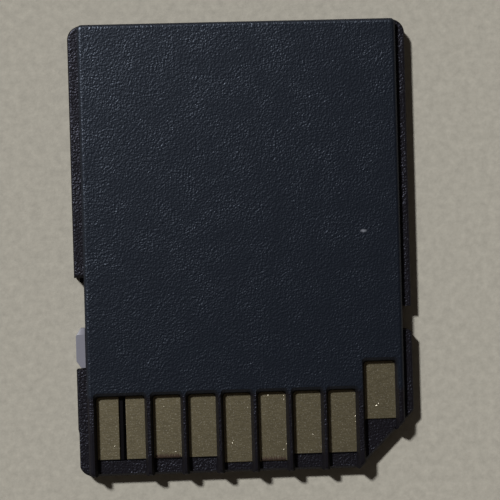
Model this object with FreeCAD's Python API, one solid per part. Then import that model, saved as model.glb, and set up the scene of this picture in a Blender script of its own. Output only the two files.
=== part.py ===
"""Adapter that lets a small memory card be used in a slot for full-size cards.

Millimetres. The card lies on its label side with the contact side up: X runs across it, towards the
cut corner, +Y to the end where the small card goes in, and +Z up out of the contact side. The origin
is the middle of the label side.
"""
import FreeCAD, Part
from collections import namedtuple
import math
import os

# Card outline
card_width = 24.0
card_length = 32.0
card_thickness = 2.1
corner_radius = 1.0
cut_corner = 4.0
cut_corner_radius = 0.35
label_edge_radius = 0.2

# Side rails of the host slot, and the raised plate between them
rail_width = 0.7
plate_rise = 0.7
rail_edge_radius = 0.16
rail_lead_in_length = 3.4
rail_lead_in_depth = 0.07
rail_lead_in_slope = 0.3
plate_corner_radius = 0.35
plate_draft = 0.03
plate_edge_radius = 0.28

# Walls of the two covers
seam_chamfer = 0.04
front_wall = 0.4
back_wall = 0.45
side_wall = 0.95
raised_side_wall = 0.7
mouth_wall = 0.8
chamber_radius = 0.5
chamber_front_radius = 0.2
chamber_step_radius = 0.1
fit_clearance = 0.05

# Contact bay: windows over the contacts, ribs between them, a ledge along the front edge
pitch_count = 9.6
power_contact_offset = 0.68
rib_width = 0.58
window_depth = 5.6
window_corner_radius = 0.28
rib_draft = 0.14
window_top_draft = 0.15
rim_height = 0.2
rib_rim_width = 0.06
window_rim_width = 0.22
ledge_depth = 1.05
short_ledge_depth = 0.64
ledge_drop = 0.06
ledge_bevel = 0.16
bay_wall = 0.5
end_rib_width = 0.65
data2_rib_width = 0.7
data2_window_depth = 7.56
data2_ledge_depth = 3.41
data0_rib_width = 0.64
data_divider_width = 0.49
data_divider_gap = 0.2
data_divider_gap_depth = 0.6
data0_share = 0.459

# Stamped terminals
sheet_thickness = 0.15
bend_radius = 0.1
nose_edge_radius = 0.06
contact_lap = 0.12
contact_top_lap = 0.45
contact_end_gap = 0.07
cut_end_gap = 0.15
nose_depth = 0.4
strip_width = 0.6
strip_bend_radius = 0.4
fan_start_gap = 0.63
fan_end_gap = 1.2
bridge_width = 0.65
bridge_drop = 0.4
carrier_radius = 0.3

# Small card, and the slot that holds it
small_card_width = 11.0
small_card_length = 15.0
small_card_thickness = 0.7
small_card_step = 1.3
small_card_wide_length = 7.25
small_card_flare_length = 1.25
small_card_flare_radius = 0.3
small_card_latch = 6.5
card_clearance = 0.08
guide_wall = 0.8
mouth_flare = 0.2
lip_notch_margin = 0.5
lip_notch_depth = 1.6
lip_notch_radius = 0.8

# Spring fingers that press on the small card
finger_count = 8
finger_edge = 1.0
finger_width = 0.45
finger_reach = 2.7
finger_tip_length = 0.85
finger_preload = 0.16
finger_tip_rise = 0.3
finger_bend_radius = 0.35

# Leaf spring that catches the notch in the small card's side
leaf_thickness = 0.15
leaf_height = 0.6
leaf_bend_radius = 0.25
leaf_catch = 0.35
leaf_half_span = 1.4
leaf_end_length = 2.4
leaf_stop_width = 0.4

# Write-protect slider and its notch in the left rail
slider_notch_start = 7.62
slider_notch_length = 6.53
slider_notch_depth = 0.71
slider_notch_bevel = 0.2
slider_stop_length = 0.35
slider_stop_depth = 0.35
slider_length = 2.84
slider_face_length = 1.78
slider_end_shoulder = 0.32
slider_face_offset = 0.02
slider_end_gap = 0.1
slider_low = 0.2
slider_sink = 0.18
slider_ramp_length = 0.45
slider_ramp_drop = 0.14
slider_edge_radius = 0.05
neck_slot_height = 0.5
flange_thickness = 0.6
flange_overlap = 0.35
slider_guide_wall = 0.5

# Notch in the right rail
lock_notch_start = 9.8
lock_notch_length = 1.7
lock_notch_radius = 0.35

# Locating posts that join the covers
post_share = 0.15
boss_wall = 0.55
post_clearance = 0.03
post_row_gap = 3.05
post_row_inset = 3.2

# Ribs under the back cover that keep the small card down
ceiling_rib_width = 0.5
ceiling_rib_count = 4
ceiling_rib_length = 6.0

# How far a cut runs past the surface that it goes through
beyond = 1.0

# Values that follow from those above
half_width = card_width / 2
half_length = card_length / 2
rail_height = card_thickness - plate_rise
parting_height = rail_height / 2
plate_half_width = half_width - rail_width
chamber_half_width = half_width - side_wall
chamber_front = ledge_depth - half_length
chamber_back = half_length - mouth_wall
ceiling = card_thickness - back_wall
contact_pitch = card_width / pitch_count
window_width = contact_pitch - rib_width
window_top = window_depth - half_length
data2_window_top = data2_window_depth - half_length
data2_ledge = data2_ledge_depth - half_length
ledge_height = rail_height - ledge_drop
strip_top = rail_height
strip_low = strip_top - sheet_thickness
contact_end = chamber_front + contact_end_gap
cut_contact_end = chamber_front + cut_end_gap
long_contact_end = short_ledge_depth - half_length + contact_end_gap
small_card_nose_width = small_card_width - small_card_step
slot_half_width = small_card_width / 2 + card_clearance
slot_nose_x = slot_half_width - small_card_step
slot_end = half_length - small_card_length
slot_height = small_card_thickness + card_clearance / 2
slot_roof = front_wall + slot_height
flare_back = half_length - small_card_wide_length
flare_front = flare_back - small_card_flare_length
fan_start = window_top + fan_start_gap
fan_end = slot_end - fan_end_gap
finger_middle = -small_card_step / 2
finger_pitch = (small_card_nose_width - 2 * finger_edge) / (finger_count - 1)
leaf_line = slot_half_width + guide_wall + leaf_thickness / 2 + fit_clearance
leaf_middle = half_length - small_card_latch
leaf_stop_outer = leaf_line + leaf_thickness / 2 + fit_clearance + leaf_stop_width
slider_notch_front = slider_notch_start - half_length
slider_notch_back = slider_notch_front + slider_notch_length
slider_high = rail_height - slider_sink
neck_low = (slider_low + rail_height - neck_slot_height) / 2
post_x = (leaf_stop_outer + chamber_half_width) / 2
post_radius = post_share * (chamber_half_width - leaf_stop_outer)
above = card_thickness + beyond

Contact = namedtuple("Contact", "left right top end nosed finger")


def vector(x, y, z):
    return FreeCAD.Vector(x, y, z)


def on_level(height):
    """Places plan coordinates (x, y) at a height."""
    return lambda x, y: vector(x, y, height)


def across(place_x):
    """Places side-view coordinates (y, z) at a given x."""
    return lambda y, z: vector(place_x, y, z)


def along(place_y):
    """Places end-view coordinates (x, z) at a given y."""
    return lambda x, z: vector(x, place_y, z)


def rounded_wire(corners, place):
    """Closed wire through (a, b, radius) corners, each rounded by a tangent arc of its radius."""
    turns = []
    count = len(corners)
    for index, (a, b, radius) in enumerate(corners):
        here = vector(a, b, 0)
        to_before = vector(*corners[index - 1][:2], 0) - here
        to_after = vector(*corners[(index + 1) % count][:2], 0) - here
        half_angle = to_before.getAngle(to_after) / 2
        to_before.normalize()
        to_after.normalize()
        if radius == 0:
            turns.append((here, None, here))
            continue
        reach = radius / math.tan(half_angle)
        inwards = (to_before + to_after).normalize()
        middle = here + inwards * (radius / math.sin(half_angle) - radius)
        turns.append((here + to_before * reach, middle, here + to_after * reach))
    edges = []
    for index, (start, middle, end) in enumerate(turns):
        last_end = turns[index - 1][2]
        if last_end.distanceToPoint(start) > 1e-6:
            edges.append(Part.LineSegment(place(last_end.x, last_end.y), place(start.x, start.y)).toShape())
        if middle is not None:
            points = [place(point.x, point.y) for point in (start, middle, end)]
            edges.append(Part.Arc(*points).toShape())
    return Part.Wire(Part.__sortEdges__(edges))


def prism(corners, low, high):
    """Plan outline raised from one height to another."""
    return Part.Face(rounded_wire(corners, on_level(low))).extrude(vector(0, 0, high - low))


def side_prism(corners, left, right):
    """Side-view outline, in (y, z), carried from one x to another."""
    return Part.Face(rounded_wire(corners, across(left))).extrude(vector(right - left, 0, 0))


def end_prism(corners, front, back):
    """End-view outline, in (x, z), carried from one y to another."""
    return Part.Face(rounded_wire(corners, along(front))).extrude(vector(0, back - front, 0))


def rectangle(left, right, front, back, radius=0):
    return [(left, front, radius), (right, front, radius), (right, back, radius), (left, back, radius)]


def block(left, right, front, back, low, high):
    return Part.makeBox(right - left, back - front, high - low, vector(left, front, low))


def drafted(low_corners, high_corners, low, high):
    """Solid that narrows or widens evenly between two outlines with the same number of corners."""
    wires = [rounded_wire(low_corners, on_level(low)), rounded_wire(high_corners, on_level(high))]
    return Part.makeLoft(wires, True, True)


def band(path, width, inner_radius):
    """Outline of a strip of even width along a path, its bends rounded on both sides."""
    left, right = [], []
    for index, point in enumerate(path):
        here = vector(*point, 0)
        before = (here - vector(*path[index - 1], 0)).normalize() if index > 0 else None
        after = (vector(*path[index + 1], 0) - here).normalize() if index < len(path) - 1 else None
        before = before or after
        after = after or before
        normal = vector(-(before.y + after.y), before.x + after.x, 0).normalize()
        reach = width / 2 / (normal.y * before.x - normal.x * before.y)
        turn = before.x * after.y - before.y * after.x
        radii = (0, 0)
        if abs(turn) > 1e-9:
            radii = (inner_radius, inner_radius + width) if turn > 0 else (inner_radius + width, inner_radius)
        left.append((here.x + normal.x * reach, here.y + normal.y * reach, radii[0]))
        right.append((here.x - normal.x * reach, here.y - normal.y * reach, radii[1]))
    return left + right[::-1]


def edges_at(solid, height):
    """Edges that lie wholly at a height."""
    picked = []
    for edge in solid.Edges:
        box = edge.BoundBox
        if abs(box.ZMin - height) < 1e-6 and abs(box.ZMax - height) < 1e-6:
            picked.append(edge)
    return picked


def fused(first, *others):
    return first.fuse(list(others)).removeSplitter()


def card_outline():
    """The full outline: three round corners and the cut corner at the front right."""
    return [
        (-half_width, -half_length, corner_radius),
        (half_width - cut_corner, -half_length, cut_corner_radius),
        (half_width, cut_corner - half_length, cut_corner_radius),
        (half_width, half_length, corner_radius),
        (-half_width, half_length, corner_radius),
    ]


def plate_outline(inset):
    """The raised plate, drafted at its two long sides by the inset."""
    side = plate_half_width - inset
    cut_front = half_width - cut_corner - inset
    return [
        (-side, -half_length, plate_corner_radius),
        (cut_front, -half_length, cut_corner_radius),
        (side, side - cut_front - half_length, cut_corner_radius),
        (side, half_length, plate_corner_radius),
        (-side, half_length, plate_corner_radius),
    ]


def chamber_outline(clearance=0.0):
    """Inside of the covers: it steps back behind the ledge of the short contact by the cut corner."""
    side = chamber_half_width - clearance
    step_x = contacts["data2"].left - contact_lap - clearance
    step_y = data2_ledge + clearance
    cut = contacts["data2"].right + contact_lap - clearance
    return [
        (-side, chamber_front + clearance, chamber_front_radius),
        (step_x, chamber_front + clearance, chamber_step_radius),
        (step_x, step_y, chamber_step_radius),
        (cut, step_y, 0),
        (side, step_y + side - cut, 0),
        (side, chamber_back - clearance, chamber_radius),
        (-side, chamber_back - clearance, chamber_radius),
    ]


def pitched_contact(steps, end, nosed, finger):
    """Contact in the even row, counted in pitches from the power contact."""
    centre = steps * contact_pitch - power_contact_offset
    return Contact(centre - window_width / 2, centre + window_width / 2, window_top, end, nosed, finger)


def contact_row():
    """The nine contacts by name: six in the even row, then those that reach to the plate's sides."""
    row = {
        "detect": pitched_contact(3, contact_end, True, 1),
        "command": pitched_contact(2, contact_end, True, 2),
        "ground_front": pitched_contact(1, long_contact_end, False, None),
        "power": pitched_contact(0, long_contact_end, False, 3),
        "clock": pitched_contact(-1, contact_end, True, 4),
        "ground_back": pitched_contact(-2, cut_contact_end, False, 5),
    }
    side = plate_half_width - end_rib_width
    data2_left = row["detect"].right + data2_rib_width
    data0_right = row["ground_back"].left - data0_rib_width
    data0_left = data0_right - data0_share * (data0_right + side - data_divider_width)
    data1_right = data0_left - data_divider_width
    row["data2"] = Contact(data2_left, side, data2_window_top, data2_ledge + contact_end_gap, False, 0)
    row["data0"] = Contact(data0_left, data0_right, window_top, contact_end, True, 6)
    row["data1"] = Contact(-side, data1_right, window_top, contact_end, True, 7)
    return row


contacts = contact_row()


def middle_x(contact):
    return (contact.left + contact.right) / 2


def slot_outline(grow=0.0):
    """Plan of the small card's slot: straight on the left, flared out on the right, open at the mouth."""
    turn = math.atan2(small_card_step, small_card_flare_length)
    shift = grow * math.tan(turn / 2)
    return [
        (-slot_half_width - grow, slot_end, 0),
        (slot_nose_x + grow, slot_end, 0),
        (slot_nose_x + grow, flare_front - shift, small_card_flare_radius),
        (slot_half_width + grow, flare_back - shift, small_card_flare_radius),
        (slot_half_width + grow, half_length + beyond, 0),
        (-slot_half_width - grow, half_length + beyond, 0),
    ]


def post_places():
    """Two rows: one behind the slider's notch and one in front of the mouth."""
    rows = (slider_notch_back + post_row_gap, half_length - post_row_inset)
    return [(x, y) for x in (-post_x, post_x) for y in rows]


def lock_notch_cut():
    """Small notch through the right rail; the corner of the rail in front of it is round."""
    front = lock_notch_start - half_length
    back = front + lock_notch_length
    turn = front - 2 * lock_notch_radius
    return prism([
        (plate_half_width, front, 0),
        (half_width, front, lock_notch_radius),
        (half_width, turn, 0),
        (half_width + beyond, turn, 0),
        (half_width + beyond, back, 0),
        (plate_half_width, back, 0),
    ], -beyond, rail_height)


def upper_slider_notch():
    """The slider's notch through the back cover's rail, with a bevel at its inner end."""
    profile = [
        (slider_notch_front, -beyond, 0),
        (slider_notch_back, -beyond, 0),
        (slider_notch_back, rail_height - slider_notch_bevel, 0),
        (slider_notch_back + slider_notch_bevel + beyond, rail_height + beyond, 0),
        (slider_notch_front, rail_height + beyond, 0),
    ]
    return side_prism(profile, -half_width - beyond, slider_notch_depth - half_width)


def lower_slider_notch():
    """The same notch in the front cover, where a step at its inner end stops the slider."""
    inner = slider_notch_depth - half_width
    stop = slider_notch_back - slider_stop_length
    return prism([
        (-half_width - beyond, slider_notch_front, 0),
        (inner, slider_notch_front, 0),
        (inner, stop, 0),
        (inner - slider_stop_depth, stop, 0),
        (inner - slider_stop_depth, slider_notch_back, 0),
        (-half_width - beyond, slider_notch_back, 0),
    ], -beyond, rail_height)


def rail_lead_in():
    """The left rail is set in a little where it enters the host slot."""
    inset = rail_lead_in_depth - half_width
    end = rail_lead_in_length - half_length
    return prism([
        (-half_width - beyond, -half_length - beyond, 0),
        (inset, -half_length - beyond, 0),
        (inset, end - rail_lead_in_slope, 0),
        (-half_width, end, 0),
        (-half_width - beyond, end, 0),
    ], -beyond, above)


def neck_passage():
    """Slot in the left wall, behind the notch, for the slider's neck."""
    return block(-half_width, -chamber_half_width + fit_clearance, slider_notch_front, slider_notch_back,
                 neck_low, neck_low + neck_slot_height)


def mouth_opening():
    """Opening for the small card through the end wall, flared at its outer edge."""
    def rim(grow):
        return rectangle(-slot_half_width - grow, slot_half_width + grow, front_wall, slot_roof + grow)
    passage = end_prism(rim(0), chamber_back - fit_clearance, half_length + beyond)
    wires = [rounded_wire(rim(grow), along(half_length + grow - mouth_flare)) for grow in (0, 2 * mouth_flare)]
    return passage.fuse(Part.makeLoft(wires, True, True))


def guide_walls():
    """Walls on the front cover that guide the small card, with a gap where the leaf spring comes through."""
    low = front_wall
    high = ceiling - fit_clearance
    ring = prism(slot_outline(guide_wall), low, high).cut(prism(slot_outline(), low - beyond, high + beyond))
    ring = ring.common(block(-half_width, half_width, slot_end + fit_clearance, chamber_back, low, high))
    gap = block(slot_nose_x, half_width, leaf_middle - leaf_half_span, leaf_middle + leaf_half_span, low, high)
    return ring.cut(gap)


def leaf_stops():
    """Two pairs of short posts that hold the leaf spring's ends."""
    near = leaf_line + leaf_thickness / 2 + fit_clearance
    far = leaf_line - leaf_thickness / 2 - fit_clearance
    high = front_wall + leaf_height + 2 * fit_clearance
    stops = []
    for side in (-1, 1):
        end = leaf_middle + side * (leaf_half_span + leaf_end_length)
        start = leaf_middle + side * (leaf_half_span + leaf_end_length / 2)
        front, back = sorted((start, end))
        stops.append(block(near, near + leaf_stop_width, front, back, front_wall, high))
        stops.append(block(far - leaf_stop_width, far, front, back, front_wall, high))
    return stops


def slider_guide():
    """Wall inside the left rail that the slider's flange runs against."""
    outer = flange_thickness + 2 * fit_clearance - chamber_half_width
    front = slider_notch_front - flange_overlap - fit_clearance
    back = slider_notch_back + flange_overlap + fit_clearance
    return block(outer, outer + slider_guide_wall, front, back, front_wall, rail_height - fit_clearance)


def front_cover():
    """Label-side shell: floor, low rim, guide walls for the card and the slider, locating posts."""
    shell = prism(card_outline(), 0, parting_height)
    shell = shell.makeFillet(label_edge_radius, edges_at(shell, 0))
    shell = shell.makeChamfer(seam_chamfer, edges_at(shell, parting_height))
    shell = shell.cut(prism(chamber_outline(), front_wall, above))
    posts = [Part.makeCylinder(post_radius, ceiling - 2 * fit_clearance - front_wall, vector(x, y, front_wall))
             for x, y in post_places()]
    shell = shell.fuse([guide_walls(), slider_guide()] + leaf_stops() + posts)
    lip_side = small_card_width / 2 - lip_notch_margin
    lip_notch = prism(rectangle(-lip_side, lip_side, half_length - lip_notch_depth, half_length + lip_notch_depth,
                                lip_notch_radius), -beyond, front_wall)
    cutters = [lower_slider_notch(), lock_notch_cut(), rail_lead_in(), neck_passage(), mouth_opening(), lip_notch]
    return shell.cut(cutters).removeSplitter()


def bay_openings():
    """(left, right, top) of each window over the contacts; two contacts share the widest one."""
    openings = [(contacts["data1"].left, contacts["data0"].right, window_top)]
    for name, contact in contacts.items():
        if name not in ("data0", "data1"):
            openings.append((contact.left, contact.right, contact.top))
    return openings


def bay_channel(left, right, top):
    """Open channel over a window, down to the ledge: drafted ribs stay standing between two of these.

    Its walls lean back more near the top, most of all behind the contact, where the plate's edge is round.
    """
    def outline(side, back):
        return [
            (left - side, -half_length - beyond, 0),
            (right + side, -half_length - beyond, 0),
            (right + side, top + back, window_corner_radius),
            (left - side, top + back, window_corner_radius),
        ]
    rim_low = card_thickness - rim_height
    overshoot = 1 + beyond / rim_height
    foot = outline(0, 0)
    waist = outline(rib_draft, window_top_draft)
    mouth = outline(rib_draft + rib_rim_width * overshoot, window_top_draft + window_rim_width * overshoot)
    lower = drafted(foot, waist, ledge_height, rim_low)
    return lower.fuse(drafted(waist, mouth, rim_low, card_thickness + beyond))


def long_windows():
    """The two longer contacts lie in shallow pockets of the ledge."""
    pockets = []
    for contact in contacts.values():
        if contact.end < chamber_front:
            pockets.append(block(contact.left - contact_lap, contact.right + contact_lap,
                                 contact.end - contact_end_gap, chamber_front + beyond, strip_low, rail_height))
    return pockets


def ledge_bevels():
    """Sloped front edge of the ledge between the ribs, turned by 45 degrees along the cut corner."""
    wedge = side_prism([
        (-half_length - beyond, ledge_height + beyond, 0),
        (-half_length - beyond, ledge_height - ledge_bevel - beyond, 0),
        (-half_length + ledge_bevel + beyond, ledge_height + beyond, 0),
    ], -card_width, card_width)
    slanted = wedge.copy()
    slanted.rotate(vector(half_width - cut_corner, -half_length, 0), vector(0, 0, 1), 45)
    bevels = []
    for left, right, top in bay_openings():
        at_cut = right > half_width - cut_corner
        reach = block(left, right, -half_length - beyond, top if at_cut else chamber_front, 0, ledge_height)
        bevels.append((slanted if at_cut else wedge).common(reach))
    return bevels


def upper_chamber():
    """Room above the terminals, behind the contact bay, up to the back wall."""
    side = plate_half_width - raised_side_wall
    bay_back = window_top + window_top_draft + bay_wall
    data2_back = data2_window_top + window_top_draft + bay_wall
    step = contacts["data2"].left - bay_wall
    return prism([
        (-side, bay_back, chamber_front_radius),
        (step, bay_back, chamber_front_radius),
        (step, data2_back, chamber_front_radius),
        (side, data2_back, chamber_front_radius),
        (side, chamber_back, chamber_radius),
        (-side, chamber_back, chamber_radius),
    ], parting_height, ceiling)


def ceiling_ribs():
    ribs = []
    spacing = small_card_width / ceiling_rib_count
    for index in range(ceiling_rib_count):
        x = (index - (ceiling_rib_count - 1) / 2) * spacing
        ribs.append(block(x - ceiling_rib_width / 2, x + ceiling_rib_width / 2,
                          chamber_back - ceiling_rib_length, chamber_back, slot_roof, ceiling))
    return ribs


def bosses():
    """Tubes on the back cover that take the front cover's posts."""
    inner = post_radius + post_clearance
    low = front_wall + fit_clearance
    tubes = []
    for x, y in post_places():
        tube = Part.makeCylinder(inner + boss_wall, ceiling - low, vector(x, y, low))
        tubes.append(tube.cut(Part.makeCylinder(inner, ceiling - low, vector(x, y, low))))
    return tubes


def raised_plate(channels):
    """Plate with rounded edges between the rails, cut by the channels into ribs."""
    plate = drafted(plate_outline(0), plate_outline(plate_draft), rail_height, card_thickness)
    return plate.makeFillet(plate_edge_radius, edges_at(plate, card_thickness)).cut(channels)


def rail_layer(channels):
    """Lower half of the back cover: the rails, the ledge, and the foot that the plate stands on."""
    rails = prism(card_outline(), parting_height, rail_height)
    rails = rails.makeFillet(rail_edge_radius, edges_at(rails, rail_height))
    rails = rails.makeChamfer(seam_chamfer, edges_at(rails, parting_height))
    foot = prism(plate_outline(0), rail_height - rail_edge_radius, rail_height)
    return rails.fuse(foot).cut(channels + long_windows() + ledge_bevels())


def back_cover():
    """Contact-side shell: rails, raised plate, contact bay with its ribs, and the mouth's upper edge."""
    channels = [bay_channel(*opening) for opening in bay_openings()]
    shell = fused(rail_layer(channels), raised_plate(channels))
    shell = shell.cut([prism(chamber_outline(), -beyond, rail_height), upper_chamber()])
    shell = shell.fuse(bosses() + ceiling_ribs())
    shell = shell.cut([upper_slider_notch(), lock_notch_cut(), rail_lead_in(), neck_passage(), mouth_opening()])
    return shell.removeSplitter()


def finger_x(index):
    """Place of a spring finger, counted from the cut-corner side."""
    return finger_middle + ((finger_count - 1) / 2 - index) * finger_pitch


def finger(index):
    """Cantilever finger: it dips below the card's contact face and turns up again at its tip."""
    middle = strip_top - sheet_thickness / 2
    contact_y = slot_end + finger_reach
    contact_z = front_wall + small_card_thickness - finger_preload + sheet_thickness / 2
    path = [
        (slot_end - strip_width, middle),
        (slot_end + finger_width, middle),
        (contact_y, contact_z),
        (contact_y + finger_tip_length, contact_z + finger_tip_rise),
    ]
    x = finger_x(index)
    return side_prism(band(path, sheet_thickness, finger_bend_radius), x - finger_width / 2, x + finger_width / 2)


def contact_pad(contact):
    """The flat contact under its window, with its nose turned down in front where it has one."""
    left = contact.left - contact_lap
    right = contact.right + contact_lap
    if contact is contacts["data0"]:
        left = contact.left
    if contact is contacts["data1"]:
        right = contact.right
    back = contact.top + contact_top_lap
    if not contact.nosed:
        return prism(rectangle(left, right, contact.end, back), strip_low, strip_top)
    nose_low = strip_top - nose_depth
    nose_back = contact.end + sheet_thickness
    return side_prism([
        (back, strip_low, 0),
        (back, strip_top, 0),
        (contact.end, strip_top, nose_edge_radius),
        (contact.end, nose_low, 0),
        (nose_back, nose_low, 0),
        (nose_back, strip_low, 0),
    ], left, right)


def fan_strip(contact, start_x):
    """Flat strip from the contact's inner end to the root of its spring finger."""
    end_x = finger_x(contact.finger)
    path = [
        (start_x, contact.top + contact_top_lap - strip_width / 2),
        (start_x, max(fan_start, contact.top + contact_top_lap + strip_width / 2)),
        (end_x, fan_end),
        (end_x, slot_end - strip_width / 2),
    ]
    return prism(band(path, strip_width, strip_bend_radius), strip_low, strip_top)


def strip_start(contact):
    """The strips of the outer contacts leave them at the side nearer to the middle of the card."""
    centre = middle_x(contact)
    inwards = strip_width if contact.finger in (0, finger_count - 1) else 0
    return centre - math.copysign(inwards, centre)


def terminal(contact):
    parts = [fan_strip(contact, strip_start(contact)), finger(contact.finger)]
    return fused(contact_pad(contact), *parts)


def ground_bridge():
    """Bar that joins the two ground contacts, bent down to pass under the strips between them."""
    high = strip_top - sheet_thickness / 2
    low = high - bridge_drop
    start = middle_x(contacts["ground_front"])
    end = middle_x(contacts["ground_back"])
    turn = strip_width
    path = [
        (start + strip_width / 2, high),
        (start - turn, high),
        (start - turn - bridge_drop, low),
        (end + turn + bridge_drop, low),
        (end + turn, high),
        (end - strip_width / 2, high),
    ]
    front = window_top + contact_top_lap
    return end_prism(band(path, sheet_thickness, bend_radius), front, front + bridge_width)


def ground_terminal():
    back = contacts["ground_back"]
    return fused(terminal(back), contact_pad(contacts["ground_front"]), ground_bridge())


def terminals():
    made = {"terminal_ground": ground_terminal()}
    for name, contact in contacts.items():
        if not name.startswith("ground"):
            made["terminal_" + name] = terminal(contact)
    return made


def terminal_carrier(metal):
    """Moulded bar that the terminals are set in, flush with its top."""
    chamber = prism(chamber_outline(fit_clearance), front_wall, strip_top)
    side = chamber_half_width
    bay_back = window_top + contact_top_lap + bridge_width + strip_width / 2
    data2_back = data2_window_top + contact_top_lap + strip_width / 2
    wing = contacts["data2"].left + strip_width + strip_width / 2
    spread = finger_middle + finger_count / 2 * finger_pitch + finger_width
    plan = [
        (-side - beyond, -half_length, 0),
        (side + beyond, -half_length, 0),
        (side + beyond, data2_back, 0),
        (wing, data2_back, carrier_radius),
        (spread, fan_end, carrier_radius),
        (spread, slot_end, 0),
        (2 * finger_middle - spread, slot_end, 0),
        (2 * finger_middle - spread, fan_end, carrier_radius),
        (strip_start(contacts["data1"]) - strip_width, bay_back, carrier_radius),
        (-side - beyond, bay_back, 0),
    ]
    bar = chamber.common(prism(plan, front_wall, strip_top))
    bar = bar.cut(block(-side - beyond, side + beyond, -half_length, contact_end, 0, above))
    left, right = contacts["data1"].right, contacts["data0"].left
    divider = block(left, right, contact_end - beyond, window_top, strip_low, above)
    gap = block(right - data_divider_gap, right, contact_end - beyond, window_top,
                strip_top - data_divider_gap_depth, above)
    return bar.cut(list(metal) + [divider, gap]).removeSplitter()


def card_retention_spring():
    """Steel leaf, standing on edge, whose bow reaches into the slot."""
    catch = slot_half_width - leaf_catch + leaf_thickness
    reach = leaf_half_span + leaf_end_length
    path = [
        (leaf_line, leaf_middle + reach),
        (leaf_line, leaf_middle + leaf_half_span),
        (catch, leaf_middle),
        (leaf_line, leaf_middle - leaf_half_span),
        (leaf_line, leaf_middle - reach),
    ]
    return prism(band(path, leaf_thickness, leaf_bend_radius), front_wall + fit_clearance,
                 front_wall + fit_clearance + leaf_height)


def write_protect_slider():
    """Knob in the notch, with a low ramp at its back end, joined by a neck to a flange behind the wall."""
    front = slider_notch_front + slider_end_gap
    back = front + slider_length
    face_front = front + (slider_length - slider_face_length) / 2 - slider_face_offset
    face_back = face_front + slider_face_length
    inner = slider_notch_depth - half_width - fit_clearance
    shoulder = inner - slider_end_shoulder
    plan = prism([
        (inner, front, 0),
        (inner, back, 0),
        (shoulder, back, 0),
        (-half_width, face_back, slider_edge_radius),
        (-half_width, face_front, slider_edge_radius),
        (shoulder, front, 0),
    ], slider_low, slider_high)
    profile = side_prism([
        (front, slider_low, 0),
        (back, slider_low, 0),
        (back, slider_high - slider_ramp_drop, 0),
        (back - slider_ramp_length, slider_high, slider_edge_radius),
        (front, slider_high, slider_edge_radius),
    ], -card_width, card_width)
    knob = plan.common(profile)
    neck = block(inner, fit_clearance - chamber_half_width, front, back,
                 neck_low + fit_clearance, neck_low + neck_slot_height - fit_clearance)
    flange_left = fit_clearance - chamber_half_width
    flange = block(flange_left, flange_left + flange_thickness, front - flange_overlap, back + flange_overlap,
                   front_wall + fit_clearance, rail_height - fit_clearance)
    return fused(knob, neck, flange)


def main():
    os.makedirs("parts", exist_ok=True)
    pieces = terminals()
    pieces["terminal_carrier"] = terminal_carrier(pieces.values())
    pieces["front_cover"] = front_cover()
    pieces["back_cover"] = back_cover()
    pieces["write_protect_slider"] = write_protect_slider()
    pieces["card_retention_spring"] = card_retention_spring()
    for name, shape in pieces.items():
        shape.exportStep("parts/" + name + ".step")
        print(name, "valid" if shape.isValid() else "INVALID", len(shape.Solids), "solid",
              round(shape.Volume, 3), "mm3")


main()
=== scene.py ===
"""Looks of a memory card adapter: spark-eroded black covers, sunk gold-plated contacts and a lilac slider.

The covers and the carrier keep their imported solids. The stamped and the small moulded pieces get a skin of
their solid with rounded edges, and the sheared ends and marks of the contacts are pieces of their own.
"""
import bmesh
import bpy
import math
import numpy as np
from mathutils import Matrix, Vector


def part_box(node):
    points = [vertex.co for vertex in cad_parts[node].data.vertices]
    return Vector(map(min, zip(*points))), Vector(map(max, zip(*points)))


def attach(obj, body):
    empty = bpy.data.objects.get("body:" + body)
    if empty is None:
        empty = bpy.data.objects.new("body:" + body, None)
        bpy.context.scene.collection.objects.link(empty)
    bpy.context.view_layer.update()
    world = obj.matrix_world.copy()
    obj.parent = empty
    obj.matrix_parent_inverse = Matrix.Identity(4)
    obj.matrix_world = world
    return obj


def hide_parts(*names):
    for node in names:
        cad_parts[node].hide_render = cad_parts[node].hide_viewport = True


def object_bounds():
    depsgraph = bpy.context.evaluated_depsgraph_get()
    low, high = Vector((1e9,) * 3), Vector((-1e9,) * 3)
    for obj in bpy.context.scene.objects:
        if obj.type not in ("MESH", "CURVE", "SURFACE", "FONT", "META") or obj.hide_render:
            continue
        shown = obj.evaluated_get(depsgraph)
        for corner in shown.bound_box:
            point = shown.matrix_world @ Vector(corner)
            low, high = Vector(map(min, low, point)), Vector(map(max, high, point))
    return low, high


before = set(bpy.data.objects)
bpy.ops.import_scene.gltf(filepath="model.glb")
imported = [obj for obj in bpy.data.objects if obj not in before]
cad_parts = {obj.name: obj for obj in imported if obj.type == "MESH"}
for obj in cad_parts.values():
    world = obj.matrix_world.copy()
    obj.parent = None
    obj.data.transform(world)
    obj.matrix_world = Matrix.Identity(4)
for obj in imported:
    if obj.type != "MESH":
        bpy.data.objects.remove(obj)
cad_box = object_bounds()

bl_info = {
    "name": "Memory Card Adapter",
    "version": (1, 0, 0),
    "blender": (4, 5, 0),
    "location": "3D View > Sidebar > Adapter",
    "description": "Builds the looks of a memory card adapter around its packed solids",
    "category": "Object",
}

# Lengths in this file are metres; millimetre values are written with this factor.
MM = 0.001

# Width of the photograph in pixels, and of the camera's sensor in millimetres, which Blender's lenses use.
IMAGE_SIZE = 500
SENSOR_WIDTH = 36.0

HOUSING = "housing"
SLIDER = "slider"
CONTACT_NAMES = ("data2", "detect", "command", "ground", "power", "clock", "data0", "data1")

# Edges that turn by more than the sharp turn are rounded, and by less than the flat turn dissolved.
SHARP_TURN = math.radians(35)
FLAT_TURN = math.radians(0.5)
ROUNDING_STEPS = 3
WELD_DISTANCE = 0.0001 * MM

# Tops of the plate and of the contacts, thickness of the contacts' sheet, and back of the contact bay.
PLATE_TOP = cad_box[1][2]
CONTACT_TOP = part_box("terminal_power")[1][2]
SHEET = 0.15 * MM
BAY_BACK = -10.2 * MM

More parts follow.
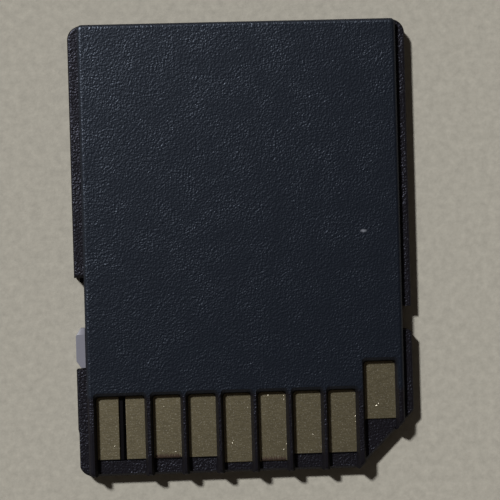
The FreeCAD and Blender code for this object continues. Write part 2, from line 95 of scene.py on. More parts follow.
# Places on Y between which the carrier hides the ground terminal's bar, whose bends are too tight to round.
NOT_BURIED = (0, 0)
BURIED = {"ground": (BAY_BACK, 0.5 * MM)}

# Axis, place of none and place of all of an effect: the rib ends and the strip at the side, which card slots
# have rubbed smooth, and the plate behind the contact bay, whose sheen has a brighter painted blue tint.
FADES = {
    "rib_ends": ("Y", -14.6 * MM, -14.9 * MM),
    "strip_side": ("X", -10.6 * MM, -10.7 * MM),
    "strip_front": ("Y", -12.6 * MM, -13.1 * MM),
    "plate_behind_bay": ("Y", -10.5 * MM, BAY_BACK),
}

# Widths of the patterns in the finishes: patches where hands have worn the grain, orange-peel on the smooth
# plastics, grains of the plating, patches on bare metal, and stipple and mottling of the floor's paint.
WORN_PATCH = 1.8 * MM
ORANGE_PEEL = 0.5 * MM
PLATING_GRAIN = 0.1 * MM
METAL_PATCH = 0.07 * MM
FLOOR_STIPPLE = 0.4 * MM
FLOOR_MOTTLE = 0.6 * MM

# Middle and half sizes of the pale scuff that a knock has left on the plate.
KNOCK_PLACE = (8.62 * MM, 0.95 * MM, PLATE_TOP)
KNOCK_REACH = (0.28 * MM, 0.14 * MM, 0.1 * MM)

# Sheared ends of the two ground contacts: name, middle on X and front on Y in millimetres, and seed of the
# ragged line. Then half their width in millimetres, and the rings along a lip and the points round it.
SHEARED_ENDS = (
    ("ground_back_sheared_end", -5.68, -14.81, 3),
    ("ground_front_sheared_end", 1.82, -15.25, 8),
)
SHEARED_HALF_WIDTH = 0.93
LIP_RINGS = 240
LIP_SIDES = 12

# Marks in the plating: x, y and length in millimetres, and direction in degrees. Then the rings along a mark,
# the points round it, the turn of its arc in radians, and how high its ridge stands for half its width.
MARKS = (
    (9.20, -11.62, 0.20, 28), (9.38, -11.52, 0.16, 62), (2.72, -14.16, 0.18, 45),
    (2.52, -14.52, 0.12, 22), (1.50, -10.64, 0.12, 35), (2.64, -10.70, 0.09, 58),
    (2.62, -10.96, 0.11, 30), (4.64, -13.52, 0.11, 40), (4.50, -14.62, 0.08, 40),
    (7.70, -12.34, 0.13, 60), (7.72, -12.70, 0.08, 50), (-1.12, -13.98, 0.12, 50),
    (-0.98, -13.72, 0.06, 30), (0.06, -11.46, 0.09, 45), (-0.02, -11.74, 0.06, 30),
    (-5.18, -14.42, 0.09, 25), (-5.92, -11.20, 0.08, 40), (-5.86, -11.92, 0.06, 35),
    (-6.10, -14.36, 0.09, 55), (-5.50, -12.85, 0.05, 40), (-3.30, -12.40, 0.05, 35),
    (-9.48, -13.92, 0.09, 60), (-9.90, -11.60, 0.06, 45), (-2.95, -11.10, 0.05, 30),
)
MARK_RINGS = 9
MARK_SIDES = 8
MARK_BEND = 0.9
MARK_RISE = 0.25

# Half width of the floor, and how far it lies under the card.
FLOOR_REACH = 1.5
FLOOR_GAP = 0.01 * MM

# Bands of the room by the height of a direction, the sine of its angle above the floor: where the pale wall
# fades out, where the ceiling fades in, and the share of light that the ceiling keeps.
WALL_TOP = (0.14, 0.34)
CEILING_EDGE = (0.84, 0.95)
CEILING_SHARE = 0.3

# Colour sockets of a Mix node.
MIX_A, MIX_B, MIX_RESULT = 6, 7, 2


def linear(hex_colour):
    """sRGB hex colour as linear RGBA.

    A channel c is c / 12.92 up to 0.04045, and ((c + 0.055) / 1.055) to the power 2.4 above that.
    """
    channels = np.array([int(hex_colour[i:i + 2], 16) for i in (1, 3, 5)]) / 255
    straight = np.where(channels <= 0.04045, channels / 12.92, ((channels + 0.055) / 1.055) ** 2.4)
    return (*straight.tolist(), 1.0)


def shaded(colour, factor):
    """The colour with its red, green and blue times a factor."""
    return (*(channel * factor for channel in colour[:3]), 1.0)


class AdapterSizes(bpy.types.PropertyGroup):
    """Real sizes of the finishes and of the rounded edges."""

    grain: bpy.props.FloatProperty(
        name="Grain", description="Width of one spark-eroded grain",
        default=0.11 * MM, unit="LENGTH", precision=5)
    grain_depth: bpy.props.FloatProperty(
        name="Grain depth", description="Height of the spark-eroded grain",
        default=0.03 * MM, unit="LENGTH", precision=6)
    moulded_edge: bpy.props.FloatProperty(
        name="Moulded edge", description="Radius of a moulded plastic edge",
        default=0.03 * MM, unit="LENGTH", precision=5)
    stamped_edge: bpy.props.FloatProperty(
        name="Stamped edge", description="Roll-over radius of a stamped edge",
        default=0.03 * MM, unit="LENGTH", precision=5)
    rolling_line: bpy.props.FloatProperty(
        name="Rolling line", description="Spacing of the rolling lines in the contacts",
        default=0.09 * MM, unit="LENGTH", precision=5)
    burr: bpy.props.FloatProperty(
        name="Burr", description="Half depth of the ragged lip on a sheared end, where its waves stand out",
        default=0.22 * MM, unit="LENGTH", precision=5)
    mark_width: bpy.props.FloatProperty(
        name="Mark width", description="Width of a mark in the plating",
        default=0.085 * MM, unit="LENGTH", precision=5)


class AdapterColours(bpy.types.PropertyGroup):
    """Colours of the materials, as linear values of their sRGB hex."""

    covers: bpy.props.FloatVectorProperty(
        name="Covers", description="Black ABS of the covers",
        size=4, subtype="COLOR", min=0, max=1, default=linear("#0A0E16"))
    rubbed: bpy.props.FloatVectorProperty(
        name="Rubbed covers", description="The same ABS where card slots rub it",
        size=4, subtype="COLOR", min=0, max=1, default=linear("#100E11"))
    scuffed: bpy.props.FloatVectorProperty(
        name="Scuffed covers", description="The same ABS where a knock has turned it pale",
        size=4, subtype="COLOR", min=0, max=1, default=linear("#6E7178"))
    # Blue tint painted into the sheen of the plate behind the contact bay; it stands in for a bluish key
    # light.
    painted_blue_sheen: bpy.props.FloatVectorProperty(
        name="Painted blue sheen", description="Painted blue tint of the sheen on the plate behind the contact bay",
        size=4, subtype="COLOR", min=0, max=1, default=linear("#D8E6FC"))
    # Dimmer sheen on the rest of the covers, with a blue tint painted in that stands in for a bluish key
    # light.
    dim_painted_blue_sheen: bpy.props.FloatVectorProperty(
        name="Dim painted blue sheen", description="Dimmer sheen on the rest of the covers, with a painted blue tint",
        size=4, subtype="COLOR", min=0, max=1, default=linear("#A4A8BC"))
    slider: bpy.props.FloatVectorProperty(
        name="Slider", description="Grey-lilac plastic of the slider",
        size=4, subtype="COLOR", min=0, max=1, default=linear("#72727B"))
    carrier: bpy.props.FloatVectorProperty(
        name="Carrier", description="Black plastic around the contacts",
        size=4, subtype="COLOR", min=0, max=1, default=linear("#0B0A0D"))
    plating: bpy.props.FloatVectorProperty(
        name="Plating", description="Thin dull gold of the contacts",
        size=4, subtype="COLOR", min=0, max=1, default=linear("#9C9276"))
    copper: bpy.props.FloatVectorProperty(
        name="Copper", description="Bare copper alloy of a sheared end",
        size=4, subtype="COLOR", min=0, max=1, default=linear("#4D4038"))
    bare: bpy.props.FloatVectorProperty(
        name="Bare metal", description="Bright metal in a mark",
        size=4, subtype="COLOR", min=0, max=1, default=linear("#E6DFCB"))
    steel: bpy.props.FloatVectorProperty(
        name="Steel", description="Steel of the leaf spring",
        size=4, subtype="COLOR", min=0, max=1, default=linear("#B9B7B2"))
    floor: bpy.props.FloatVectorProperty(
        name="Floor", description="Plain pale floor",
        size=4, subtype="COLOR", min=0, max=1, default=linear("#9E9A8F"))


class StudioSettings(bpy.types.PropertyGroup):
    """Camera of the photograph, the key light and the room around the card."""

    camera_place: bpy.props.FloatVectorProperty(
        name="Camera place", description="Where the camera stands",
        size=3, subtype="TRANSLATION", default=(-4.1 * MM, 1.6 * MM, 120 * MM))
    camera_turn: bpy.props.FloatVectorProperty(
        name="Camera turn", description="Rotation vector of the camera from looking straight down",
        size=3, subtype="EULER", default=tuple(math.radians(turn) for turn in (-0.84, -2.26, -1.61)))
    focal_pixels: bpy.props.FloatProperty(
        name="Focal length", description="Focal length in pixels of the 500 pixel frame",
        default=1667.0)
    key_direction: bpy.props.FloatVectorProperty(
        name="Key direction", description="From the card to the key light",
        size=3, subtype="XYZ", default=(-0.54, 0.63, 1.0))
    key_width: bpy.props.FloatProperty(
        name="Key width", description="Angle that the key light fills",
        default=math.radians(5.5), subtype="ANGLE")
    key_strength: bpy.props.FloatProperty(
        name="Key strength", description="Light of the key",
        default=3.8)
    fill_strength: bpy.props.FloatProperty(
        name="Fill strength", description="Light of the room above the wall; the ceiling is darker",
        default=0.055)
    fill_colour: bpy.props.FloatVectorProperty(
        name="Fill colour", description="Warm light thrown back by the room",
        size=4, subtype="COLOR", min=0, max=1, default=(1, 0.86, 0.74, 1))
    backdrop: bpy.props.FloatProperty(
        name="Backdrop", description="Brightness of the low pale wall all round",
        default=0.45)


def add_node(tree, kind, inputs=None, **settings):
    """Adds one node; inputs maps a socket to a value, or to the output that feeds it."""
    node = tree.nodes.new(kind)
    for name, value in settings.items():
        setattr(node, name, value)
    for name, value in (inputs or {}).items():
        if isinstance(value, bpy.types.NodeSocket):
            tree.links.new(value, node.inputs[name])
        else:
            node.inputs[name].default_value = value
    return node


def new_material(name, shader_values):
    """A material with one Principled shader, whose plain values stand on its own sockets."""
    material = bpy.data.materials.new(name)
    material.use_nodes = True
    tree = material.node_tree
    tree.nodes.clear()
    shader = add_node(tree, "ShaderNodeBsdfPrincipled", shader_values)
    add_node(tree, "ShaderNodeOutputMaterial", {"Surface": shader.outputs[0]})
    return material, tree, shader


def raised_masks(tree, where):
    """Masks on the raised plate and ribs: the plate behind the contact bay, which gets the brighter painted
    blue sheen, and the places that card slots have rubbed smooth.

    Each effect grows in a straight line between its two places. The strip at the side is the product of its
    own two, the rubbed places are the larger of the rib ends and the strip, and lower faces have neither.
    """
    raised = add_node(tree, "ShaderNodeMath", {0: where.outputs["Z"], 1: (PLATE_TOP + CONTACT_TOP) / 2},
                      operation="GREATER_THAN").outputs[0]
    fade = {name: add_node(tree, "ShaderNodeMapRange", {"Value": where.outputs[axis], "From Min": none,
                                                        "From Max": full}).outputs[0]
            for name, (axis, none, full) in FADES.items()}
    strip = add_node(tree, "ShaderNodeMath", {0: fade["strip_side"], 1: fade["strip_front"]},
                     operation="MULTIPLY")
    places = add_node(tree, "ShaderNodeMath", {0: fade["rib_ends"], 1: strip.outputs[0]}, operation="MAXIMUM")
    rubbed = add_node(tree, "ShaderNodeMath", {0: places.outputs[0], 1: raised}, operation="MULTIPLY")
    plate_behind_bay = add_node(tree, "ShaderNodeMath", {0: fade["plate_behind_bay"], 1: raised}, operation="MULTIPLY")
    return plate_behind_bay.outputs[0], rubbed.outputs[0]


def knock_mask(tree, place):
    """Mask of the knock: it grows from the edge of an ellipsoid to a fifth of its half sizes."""
    around = add_node(tree, "ShaderNodeMapping", {"Vector": place, "Location": KNOCK_PLACE,
                                                  "Scale": KNOCK_REACH}, vector_type="TEXTURE")
    distance = add_node(tree, "ShaderNodeVectorMath", {0: around.outputs[0]}, operation="LENGTH")
    return add_node(tree, "ShaderNodeMapRange", {"Value": distance.outputs["Value"], "From Min": 1.0,
                                                 "From Max": 0.2}).outputs[0]


def grain_strength(tree, place, level, plate_behind_bay, rubbed):
    """How strongly the grain stands out, as a product of shares.

    It is full on flat faces and less on leaning ones, little where it is rubbed, finer on the plate behind
    the contact bay, and uneven by a quarter either way where hands have worn it.
    """
    flat = add_node(tree, "ShaderNodeMapRange", {"Value": level, "From Min": 0.55, "From Max": 0.985,
                                                 "To Min": 0.4, "To Max": 1.0},
                    interpolation_type="SMOOTHSTEP")
    rough = add_node(tree, "ShaderNodeMapRange", {"Value": rubbed, "To Min": 1.0, "To Max": 0.12})
    fine = add_node(tree, "ShaderNodeMapRange", {"Value": plate_behind_bay, "To Min": 1.0, "To Max": 0.6})
    handling = add_node(tree, "ShaderNodeTexNoise", {"Vector": place, "Scale": 1 / WORN_PATCH, "Detail": 3.0})
    kept = add_node(tree, "ShaderNodeMapRange", {"Value": handling.outputs["Fac"], "From Min": 0.35,
                                                 "From Max": 0.65, "To Min": 0.75, "To Max": 1.25})
    strength = flat.outputs[0]
    for share in (rough, fine, kept):
        strength = add_node(tree, "ShaderNodeMath", {0: strength, 1: share.outputs[0]},
                            operation="MULTIPLY").outputs[0]
    return strength


def spark_eroded_abs(sizes, colours):
    """ABS moulded against spark-eroded steel.

    Flat faces have a skin of fine pits whose crests catch the light. Faces that lean away from the parting
    direction are drawn a little smoother by the tool and shine less. The raised plate behind the contact bay
    has a bright sheen with a painted blue tint, which stands in for a bluish key light; the rails, the ledge
    and the ribs, which card slots rub, have a more neutral base colour and a dimmer sheen, also painted blue,
    and parts of the ribs are smooth.
    Handling has worn the grain unevenly, and a knock has left one pale scuff on the plate.
    """
    material, tree, shader = new_material("spark_eroded_abs", {"IOR": 1.54, "Specular IOR Level": 0.54})
    coordinates = add_node(tree, "ShaderNodeTexCoord")
    place = coordinates.outputs["Object"]
    where = add_node(tree, "ShaderNodeSeparateXYZ", {"Vector": place})
    facing = add_node(tree, "ShaderNodeSeparateXYZ", {"Vector": coordinates.outputs["Normal"]}).outputs["Z"]
    level = add_node(tree, "ShaderNodeMath", {0: facing}, operation="ABSOLUTE").outputs[0]
    plate_behind_bay, rubbed = raised_masks(tree, where)

    clean = add_node(tree, "ShaderNodeMix", {"Factor": plate_behind_bay, MIX_A: colours.rubbed, MIX_B: colours.covers},
                     data_type="RGBA")
    base = add_node(tree, "ShaderNodeMix", {"Factor": knock_mask(tree, place), MIX_B: colours.scuffed,
                                            MIX_A: clean.outputs[MIX_RESULT]}, data_type="RGBA")
    # Painted blue tint of the sheen, standing in for a bluish key light; brighter on the plate behind the
    # contact bay.
    tint = add_node(tree, "ShaderNodeMix", {"Factor": plate_behind_bay, MIX_A: colours.dim_painted_blue_sheen,
                                            MIX_B: colours.painted_blue_sheen}, data_type="RGBA")
    shine = add_node(tree, "ShaderNodeMapRange", {"Value": level, "From Min": 0.15, "From Max": 0.95,
                                                  "To Min": 0.2, "To Max": 1.0})
    gleam = add_node(tree, "ShaderNodeVectorMath", {0: tint.outputs[MIX_RESULT], "Scale": shine.outputs[0]},
                     operation="SCALE")
    gloss = add_node(tree, "ShaderNodeMapRange", {"Value": level, "From Min": 0.3, "From Max": 0.95,
                                                  "To Min": 0.8, "To Max": 0.35})

    crests = add_node(tree, "ShaderNodeTexNoise", {"Vector": place, "Scale": 1 / sizes.grain, "Detail": 2.0,
                                                   "Roughness": 0.6})
    pits = add_node(tree, "ShaderNodeTexVoronoi", {"Vector": place, "Scale": 0.8 / sizes.grain},
                    feature="SMOOTH_F1")
    height = add_node(tree, "ShaderNodeMath", {0: crests.outputs["Fac"], 1: pits.outputs["Distance"]},
                      operation="ADD")
    rounded = add_node(tree, "ShaderNodeBevel", {"Radius": sizes.moulded_edge}, samples=4)
    bump = add_node(tree, "ShaderNodeBump", {"Strength": grain_strength(tree, place, level, plate_behind_bay, rubbed),
                                             "Distance": sizes.grain_depth, "Height": height.outputs[0],
                                             "Normal": rounded.outputs[0]})

    tree.links.new(base.outputs[MIX_RESULT], shader.inputs["Base Color"])
    tree.links.new(gleam.outputs[0], shader.inputs["Specular Tint"])
    tree.links.new(gloss.outputs[0], shader.inputs["Roughness"])
    tree.links.new(bump.outputs[0], shader.inputs["Normal"])
    return material


def smooth_plastic(name, colour, roughness):
    """Plastic moulded against polished steel: even colour with a faint orange-peel."""
    material, tree, shader = new_material(name, {"Base Color": colour, "Roughness": roughness, "IOR": 1.5})
    place = add_node(tree, "ShaderNodeTexCoord").outputs["Object"]
    waves = add_node(tree, "ShaderNodeTexNoise", {"Vector": place, "Scale": 1 / ORANGE_PEEL, "Detail": 2.0})
    bump = add_node(tree, "ShaderNodeBump", {"Strength": 1.0, "Distance": 0.006 * MM,
                                             "Height": waves.outputs["Fac"]})
    tree.links.new(bump.outputs[0], shader.inputs["Normal"])
    return material


def plated_copper(sizes, colours):
    """Thin gold over rolled copper alloy: a dull metal with rolling lines across it and fine bright pinholes.

    Real rolling lines and pinholes are finer, and are drawn this coarse so that they show.
    """
    material, tree, shader = new_material("plated_copper", {"Metallic": 1.0})
    place = add_node(tree, "ShaderNodeTexCoord").outputs["Object"]
    stretched = add_node(tree, "ShaderNodeMapping", {"Vector": place, "Scale": (0.3, 1.0, 1.0)})
    lines = add_node(tree, "ShaderNodeTexNoise", {"Vector": stretched.outputs[0], "Detail": 2.0,
                                                  "Scale": 1 / sizes.rolling_line})
    grains = add_node(tree, "ShaderNodeTexNoise", {"Vector": place, "Scale": 1 / PLATING_GRAIN, "Detail": 2.0,
                                                   "Roughness": 0.7})
    tone = add_node(tree, "ShaderNodeMix", {"Factor": lines.outputs["Fac"],
                                            MIX_A: shaded(colours.plating, 0.92),
                                            MIX_B: shaded(colours.plating, 1.08)}, data_type="RGBA")
    pinholes = add_node(tree, "ShaderNodeMapRange", {"Value": grains.outputs["Fac"], "From Min": 0.58,
                                                     "From Max": 0.66}, interpolation_type="SMOOTHSTEP")
    share = add_node(tree, "ShaderNodeMath", {0: pinholes.outputs[0], 1: 0.8}, operation="MULTIPLY")
    colour = add_node(tree, "ShaderNodeMix", {"Factor": share.outputs[0], MIX_A: tone.outputs[MIX_RESULT],
                                              MIX_B: colours.bare}, data_type="RGBA")
    height = add_node(tree, "ShaderNodeMath", {0: grains.outputs["Fac"], 1: 0.5, 2: lines.outputs["Fac"]},
                      operation="MULTIPLY_ADD")
    bump = add_node(tree, "ShaderNodeBump", {"Strength": 1.0, "Distance": 0.003 * MM,
                                             "Height": height.outputs[0]})
    gloss = add_node(tree, "ShaderNodeMapRange", {"Value": lines.outputs["Fac"], "To Min": 0.34,
                                                  "To Max": 0.42})
    tree.links.new(colour.outputs[MIX_RESULT], shader.inputs["Base Color"])
    tree.links.new(gloss.outputs[0], shader.inputs["Roughness"])
    tree.links.new(bump.outputs[0], shader.inputs["Normal"])
    return material


def rough_metal(name, colour, roughness):
    """Bare metal as a tool or a roll leaves it, uneven in gloss."""
    material, tree, shader = new_material(name, {"Base Color": colour, "Metallic": 1.0})
    place = add_node(tree, "ShaderNodeTexCoord").outputs["Object"]
    patches = add_node(tree, "ShaderNodeTexNoise", {"Vector": place, "Scale": 1 / METAL_PATCH, "Detail": 2.0})
    gloss = add_node(tree, "ShaderNodeMapRange", {"Value": patches.outputs["Fac"], "To Min": roughness - 0.1,
                                                  "To Max": roughness + 0.1})
    bump = add_node(tree, "ShaderNodeBump", {"Strength": 1.0, "Distance": 0.006 * MM,
                                             "Height": patches.outputs["Fac"]})
    tree.links.new(gloss.outputs[0], shader.inputs["Roughness"])
    tree.links.new(bump.outputs[0], shader.inputs["Normal"])
    return material


def painted_floor(colour):
    """Matt paint with a fine stipple, mottled by three tenths darker and lighter."""
    material, tree, shader = new_material("painted_floor", {"Roughness": 0.8})
    place = add_node(tree, "ShaderNodeTexCoord").outputs["Object"]
    stipple = add_node(tree, "ShaderNodeTexNoise", {"Vector": place, "Scale": 1 / FLOOR_STIPPLE,
                                                    "Detail": 4.0, "Roughness": 0.7})
    patches = add_node(tree, "ShaderNodeTexNoise", {"Vector": place, "Scale": 1 / FLOOR_MOTTLE,
                                                    "Detail": 4.0, "Roughness": 0.7})
    tone = add_node(tree, "ShaderNodeMix", {"Factor": patches.outputs["Fac"], MIX_A: shaded(colour, 0.7),
                                            MIX_B: shaded(colour, 1.3)}, data_type="RGBA")
    bump = add_node(tree, "ShaderNodeBump", {"Strength": 1.0, "Distance": 0.02 * MM,
                                             "Height": stipple.outputs["Fac"]})
    tree.links.new(tone.outputs[MIX_RESULT], shader.inputs["Base Color"])
    tree.links.new(bump.outputs[0], shader.inputs["Normal"])
    return material


def dress(piece, material):
    """Gives a mesh one material on every face."""
    piece.data.materials.clear()
    piece.data.materials.append(material)


def add_piece(name, mesh, material, body):
    """Puts a finished mesh into the scene as a piece that rides on a body."""
    piece = bpy.data.objects.new(name, mesh)
    bpy.context.scene.collection.objects.link(piece)
    dress(piece, material)
    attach(piece, body)
    return piece


def rounded_skin(node_name, radius, material, body, buried=NOT_BURIED):
    """Skin of a node, with every sharp edge a quarter round.

    The node's triangles are welded and flat neighbours joined. Edges that lie wholly in the buried stretch
    along Y are hidden in another piece and stay sharp.
    """
    shape = bmesh.new()
    shape.from_mesh(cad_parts[node_name].data)
    bmesh.ops.remove_doubles(shape, verts=shape.verts, dist=WELD_DISTANCE)
    bmesh.ops.dissolve_limit(shape, angle_limit=FLAT_TURN, verts=shape.verts, edges=shape.edges)
    weight = shape.edges.layers.float.new("bevel_weight_edge")
    for edge in shape.edges:
        hidden = all(buried[0] < corner.co.y < buried[1] for corner in edge.verts)
        edge[weight] = float(edge.calc_face_angle(0) > SHARP_TURN and not hidden)
    mesh = bpy.data.meshes.new(node_name + "_skin")
    shape.to_mesh(mesh)
    shape.free()
    mesh.shade_smooth()
    piece = add_piece(node_name + "_skin", mesh, material, body)
    rounding = piece.modifiers.new("rounding", "BEVEL")
    rounding.limit_method = "WEIGHT"
    rounding.width = radius
    rounding.segments = ROUNDING_STEPS
    rounding.use_clamp_overlap = False
    piece.modifiers.new("joined", "WELD").merge_threshold = WELD_DISTANCE
    piece.modifiers.new("even_shading", "WEIGHTED_NORMAL")
    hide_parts(node_name)
    return piece


def closed_rings(name, stacks):
    """Mesh through stacks of rings, an array (stack, ring, point, xyz).

    Quads join the rings of a stack, and a many-sided face closes each of its ends.
    """
    stack_count, ring_count, around = stacks.shape[:3]
    index = np.arange(stack_count * ring_count * around).reshape(stack_count, ring_count, around)
    near, far = index[:, :-1], index[:, 1:]
    quads = np.stack([near, np.roll(near, -1, 2), np.roll(far, -1, 2), far], -1).reshape(-1, 4)
    faces = quads.tolist() + index[:, 0, ::-1].tolist() + index[:, -1].tolist()
    mesh = bpy.data.meshes.new(name)
    mesh.from_pydata(stacks.reshape(-1, 3).tolist(), [], faces)
    mesh.shade_smooth()
    return mesh


def sheared_end(name, left, right, front, burr, seed):
    """Ragged lip along a contact's sheared end.

    Ragged is the mean of sines of rising frequency along the end.
    Half the lip's depth is burr * (0.62 + 0.9 * ragged), at least 0.15 * burr.
    Half its height is sheet * (0.2 + 0.06 * ragged), with the waves moved along.
    Both shrink to nothing over the last twenty-fifth at each end. Across the end the lip is a flat ellipse,
    half depth * (cos(a) + 0.68) back over the plating and half height * sin(a) up, round a line a tenth of
    the sheet under the contact's top.
    """
    random = np.random.default_rng(seed)
    along = np.linspace(0, 1, LIP_RINGS)
    waves = np.arange(5, 50, 5)
    phases = random.uniform(0, 2 * math.pi, len(waves))
    ragged = np.sin(2 * math.pi * np.outer(along, waves) + phases).sum(1) / len(waves)
    fade = np.clip(np.minimum(along, 1 - along) * 25, 0.02, 1) ** 0.5
    half_depth = burr * np.clip(0.62 + 0.9 * ragged, 0.15, None) * fade
    half_height = SHEET * (0.2 + 0.06 * np.roll(ragged, 14)) * fade
    angle = np.linspace(0, 2 * math.pi, LIP_SIDES, endpoint=False)
    x = np.broadcast_to((left + (right - left) * along)[:, None], (LIP_RINGS, LIP_SIDES))
    y = front + np.outer(half_depth, np.cos(angle) + 0.68)
    z = CONTACT_TOP - SHEET / 10 + np.outer(half_height, np.sin(angle))
    return closed_rings(name, np.stack([x, y, z], -1)[None])


def plating_marks(name, width):
    """Short curved scores, whose thrown-up edges stand just above the plating.

    Each is a flat rounded ridge carried along a small arc, with t from 0 to 1 along it.
    Half its width is width / 2 * sin(pi t), and it stands up by the marks' rise times that.
    """
    x, y, length, turn = (np.array(column)[:, None] for column in zip(*MARKS))
    t = np.linspace(0, 1, MARK_RINGS)[None]
    heading = np.radians(turn) + (t - 0.5) * MARK_BEND
    step = length * MM / MARK_RINGS
    path_x = x * MM + np.cumsum(np.cos(heading) * step, 1)
    path_y = y * MM + np.cumsum(np.sin(heading) * step, 1)
    half = width / 2 * np.sin(math.pi * np.clip(t, 0.03, 0.97)) * np.ones_like(x)
    angle = np.linspace(0, 2 * math.pi, MARK_SIDES, endpoint=False)
    out = half[..., None] * np.cos(angle)
    up = half[..., None] * np.sin(angle) * MARK_RISE
    ring_x = path_x[..., None] - np.sin(heading)[..., None] * out
    ring_y = path_y[..., None] + np.cos(heading)[..., None] * out
    return closed_rings(name, np.stack([ring_x, ring_y, CONTACT_TOP + up], -1))


def sun_turn(direction):
    """Rotation that points a lamp's -Z axis against the direction from the card to the light."""
    return Vector(direction).to_track_quat("Z", "Y").to_matrix().to_4x4()


def dim_room(studio):
    """World around the card: a low pale wall, a dim room above it and a darker ceiling.

    As a direction rises, its light falls in a straight line from the wall's to the room's, and that is
    multiplied by a share that falls from one to the ceiling's.
    """
    world = bpy.data.worlds.new("studio")
    world.use_nodes = True
    tree = world.node_tree
    tree.nodes.clear()
    direction = add_node(tree, "ShaderNodeTexCoord").outputs["Generated"]
    height = add_node(tree, "ShaderNodeSeparateXYZ", {"Vector": direction}).outputs["Z"]
    wall = add_node(tree, "ShaderNodeMapRange", {"Value": height, "From Min": WALL_TOP[0],
                                                 "From Max": WALL_TOP[1], "To Min": studio.backdrop,
                                                 "To Max": studio.fill_strength})
    overhead = add_node(tree, "ShaderNodeMapRange", {"Value": height, "From Min": CEILING_EDGE[0],
                                                     "From Max": CEILING_EDGE[1], "To Min": 1.0,
                                                     "To Max": CEILING_SHARE})
    strength = add_node(tree, "ShaderNodeMath", {0: wall.outputs[0], 1: overhead.outputs[0]},
                        operation="MULTIPLY")
    sky = add_node(tree, "ShaderNodeBackground", {"Color": studio.fill_colour,
                                                  "Strength": strength.outputs[0]})
    add_node(tree, "ShaderNodeOutputWorld", {"Surface": sky.outputs[0]})
    return world


def photograph_camera(studio):
    """Camera of the photograph, whose lens is focal pixels / image width * sensor width."""
    data = bpy.data.cameras.new("camera")
    data.sensor_width = SENSOR_WIDTH
    data.lens = studio.focal_pixels / IMAGE_SIZE * SENSOR_WIDTH
    data.clip_start = 1 * MM
    camera = bpy.data.objects.new("camera", data)
    turn = Vector(studio.camera_turn)
    camera.matrix_world = (Matrix.Translation(studio.camera_place)
                           @ Matrix.Rotation(turn.length, 4, turn.normalized()))
    return camera


class ADAPTER_OT_stage(bpy.types.Operator):
    """Floor, lights and the photograph's camera"""

    bl_idname = "adapter.stage"
    bl_label = "Stage"

    def execute(self, context):
        studio = context.scene.adapter_studio
        corners = ((-1, -1), (1, -1), (1, 1), (-1, 1))
        low = cad_box[0][2] - FLOOR_GAP
        mesh = bpy.data.meshes.new("floor")
        mesh.from_pydata([(x * FLOOR_REACH, y * FLOOR_REACH, low) for x, y in corners], [], [(0, 1, 2, 3)])
        floor = bpy.data.objects.new("floor", mesh)
        context.scene.collection.objects.link(floor)
        dress(floor, painted_floor(context.scene.adapter_colours.floor))

        lamp = bpy.data.lights.new("key", "SUN")
        lamp.energy = studio.key_strength
        lamp.angle = studio.key_width
        key = bpy.data.objects.new("key", lamp)
        key.matrix_world = sun_turn(studio.key_direction)
        context.scene.collection.objects.link(key)
        context.scene.world = dim_room(studio)

        camera = photograph_camera(studio)
        context.scene.collection.objects.link(camera)
        context.scene.camera = camera
        context.scene.view_settings.view_transform = "Standard"
        return {"FINISHED"}


class ADAPTER_OT_covers(bpy.types.Operator):
    """Both covers in spark-eroded black ABS, and the black bar that holds the terminals"""

    bl_idname = "adapter.covers"
    bl_label = "Covers"

    def execute(self, context):
        colours = context.scene.adapter_colours
        grained = spark_eroded_abs(context.scene.adapter_sizes, colours)
        for node in ("back_cover", "front_cover"):
            dress(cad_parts[node], grained)
        resin = smooth_plastic("black_lcp", colours.carrier, roughness=0.22)
        dress(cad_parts["terminal_carrier"], resin)
        return {"FINISHED"}


class ADAPTER_OT_contacts(bpy.types.Operator):
    """The eight stamped terminals, with their sheared ends and the marks in their plating"""

    bl_idname = "adapter.contacts"
    bl_label = "Contacts"

    def execute(self, context):
        sizes = context.scene.adapter_sizes
        colours = context.scene.adapter_colours
        metal = plated_copper(sizes, colours)
        for name in CONTACT_NAMES:
            rounded_skin("terminal_" + name, sizes.stamped_edge, metal, HOUSING,
                         BURIED.get(name, NOT_BURIED))
        copper = rough_metal("sheared_copper", colours.copper, roughness=0.55)
        for name, middle, front, seed in SHEARED_ENDS:
            left, right = (middle - SHEARED_HALF_WIDTH) * MM, (middle + SHEARED_HALF_WIDTH) * MM
            mesh = sheared_end(name, left, right, front * MM, sizes.burr, seed)
            add_piece(name, mesh, copper, HOUSING)
        bare = rough_metal("bare_metal", colours.bare, roughness=0.42)
        mesh = plating_marks("plating_marks", sizes.mark_width)
        add_piece("plating_marks", mesh, bare, HOUSING)
        return {"FINISHED"}


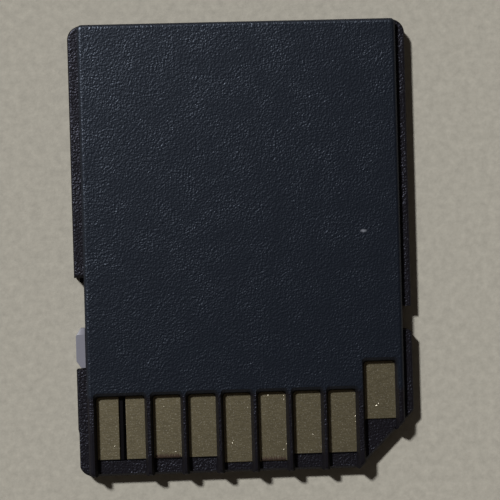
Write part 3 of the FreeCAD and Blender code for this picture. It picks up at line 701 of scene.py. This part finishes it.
class ADAPTER_OT_spring(bpy.types.Operator):
    """Steel leaf that catches the small card"""

    bl_idname = "adapter.spring"
    bl_label = "Spring"

    def execute(self, context):
        sizes = context.scene.adapter_sizes
        steel = rough_metal("rolled_spring_steel", context.scene.adapter_colours.steel, roughness=0.35)
        rounded_skin("card_retention_spring", sizes.stamped_edge, steel, HOUSING)
        return {"FINISHED"}


class ADAPTER_OT_slider(bpy.types.Operator):
    """Write-protect slider in smooth grey-lilac plastic"""

    bl_idname = "adapter.slider"
    bl_label = "Slider"

    def execute(self, context):
        sizes = context.scene.adapter_sizes
        material = smooth_plastic("lilac_abs", context.scene.adapter_colours.slider, roughness=0.4)
        rounded_skin("write_protect_slider", sizes.moulded_edge, material, SLIDER)
        return {"FINISHED"}


class ADAPTER_PT_panel(bpy.types.Panel):
    """Lists the adapter's steps in the sidebar"""

    bl_idname = "ADAPTER_PT_panel"
    bl_label = "Memory Card Adapter"
    bl_space_type = "VIEW_3D"
    bl_region_type = "UI"
    bl_category = "Adapter"

    def draw(self, context):
        for step in STEPS:
            self.layout.operator(step.bl_idname)
        for group_name in GROUPS:
            group = getattr(context.scene, group_name)
            box = self.layout.box()
            for name in group.bl_rna.properties.keys():
                if name not in ("rna_type", "name"):
                    box.prop(group, name)


STEPS = (ADAPTER_OT_stage, ADAPTER_OT_covers, ADAPTER_OT_contacts, ADAPTER_OT_spring, ADAPTER_OT_slider)
GROUPS = {"adapter_sizes": AdapterSizes, "adapter_colours": AdapterColours, "adapter_studio": StudioSettings}


def register():
    """Registers the sizes, colours and studio settings, then the steps and the panel."""
    for name, group in GROUPS.items():
        bpy.utils.register_class(group)
        setattr(bpy.types.Scene, name, bpy.props.PointerProperty(type=group))
    for item in (*STEPS, ADAPTER_PT_panel):
        bpy.utils.register_class(item)


def unregister():
    """Takes away what register has added."""
    for item in (ADAPTER_PT_panel, *reversed(STEPS)):
        bpy.utils.unregister_class(item)
    for name, group in GROUPS.items():
        delattr(bpy.types.Scene, name)
        bpy.utils.unregister_class(group)


def main():
    register()
    for step in STEPS:
        area, name = step.bl_idname.split(".")
        getattr(getattr(bpy.ops, area), name)()


if __name__ == "__main__":
    main()
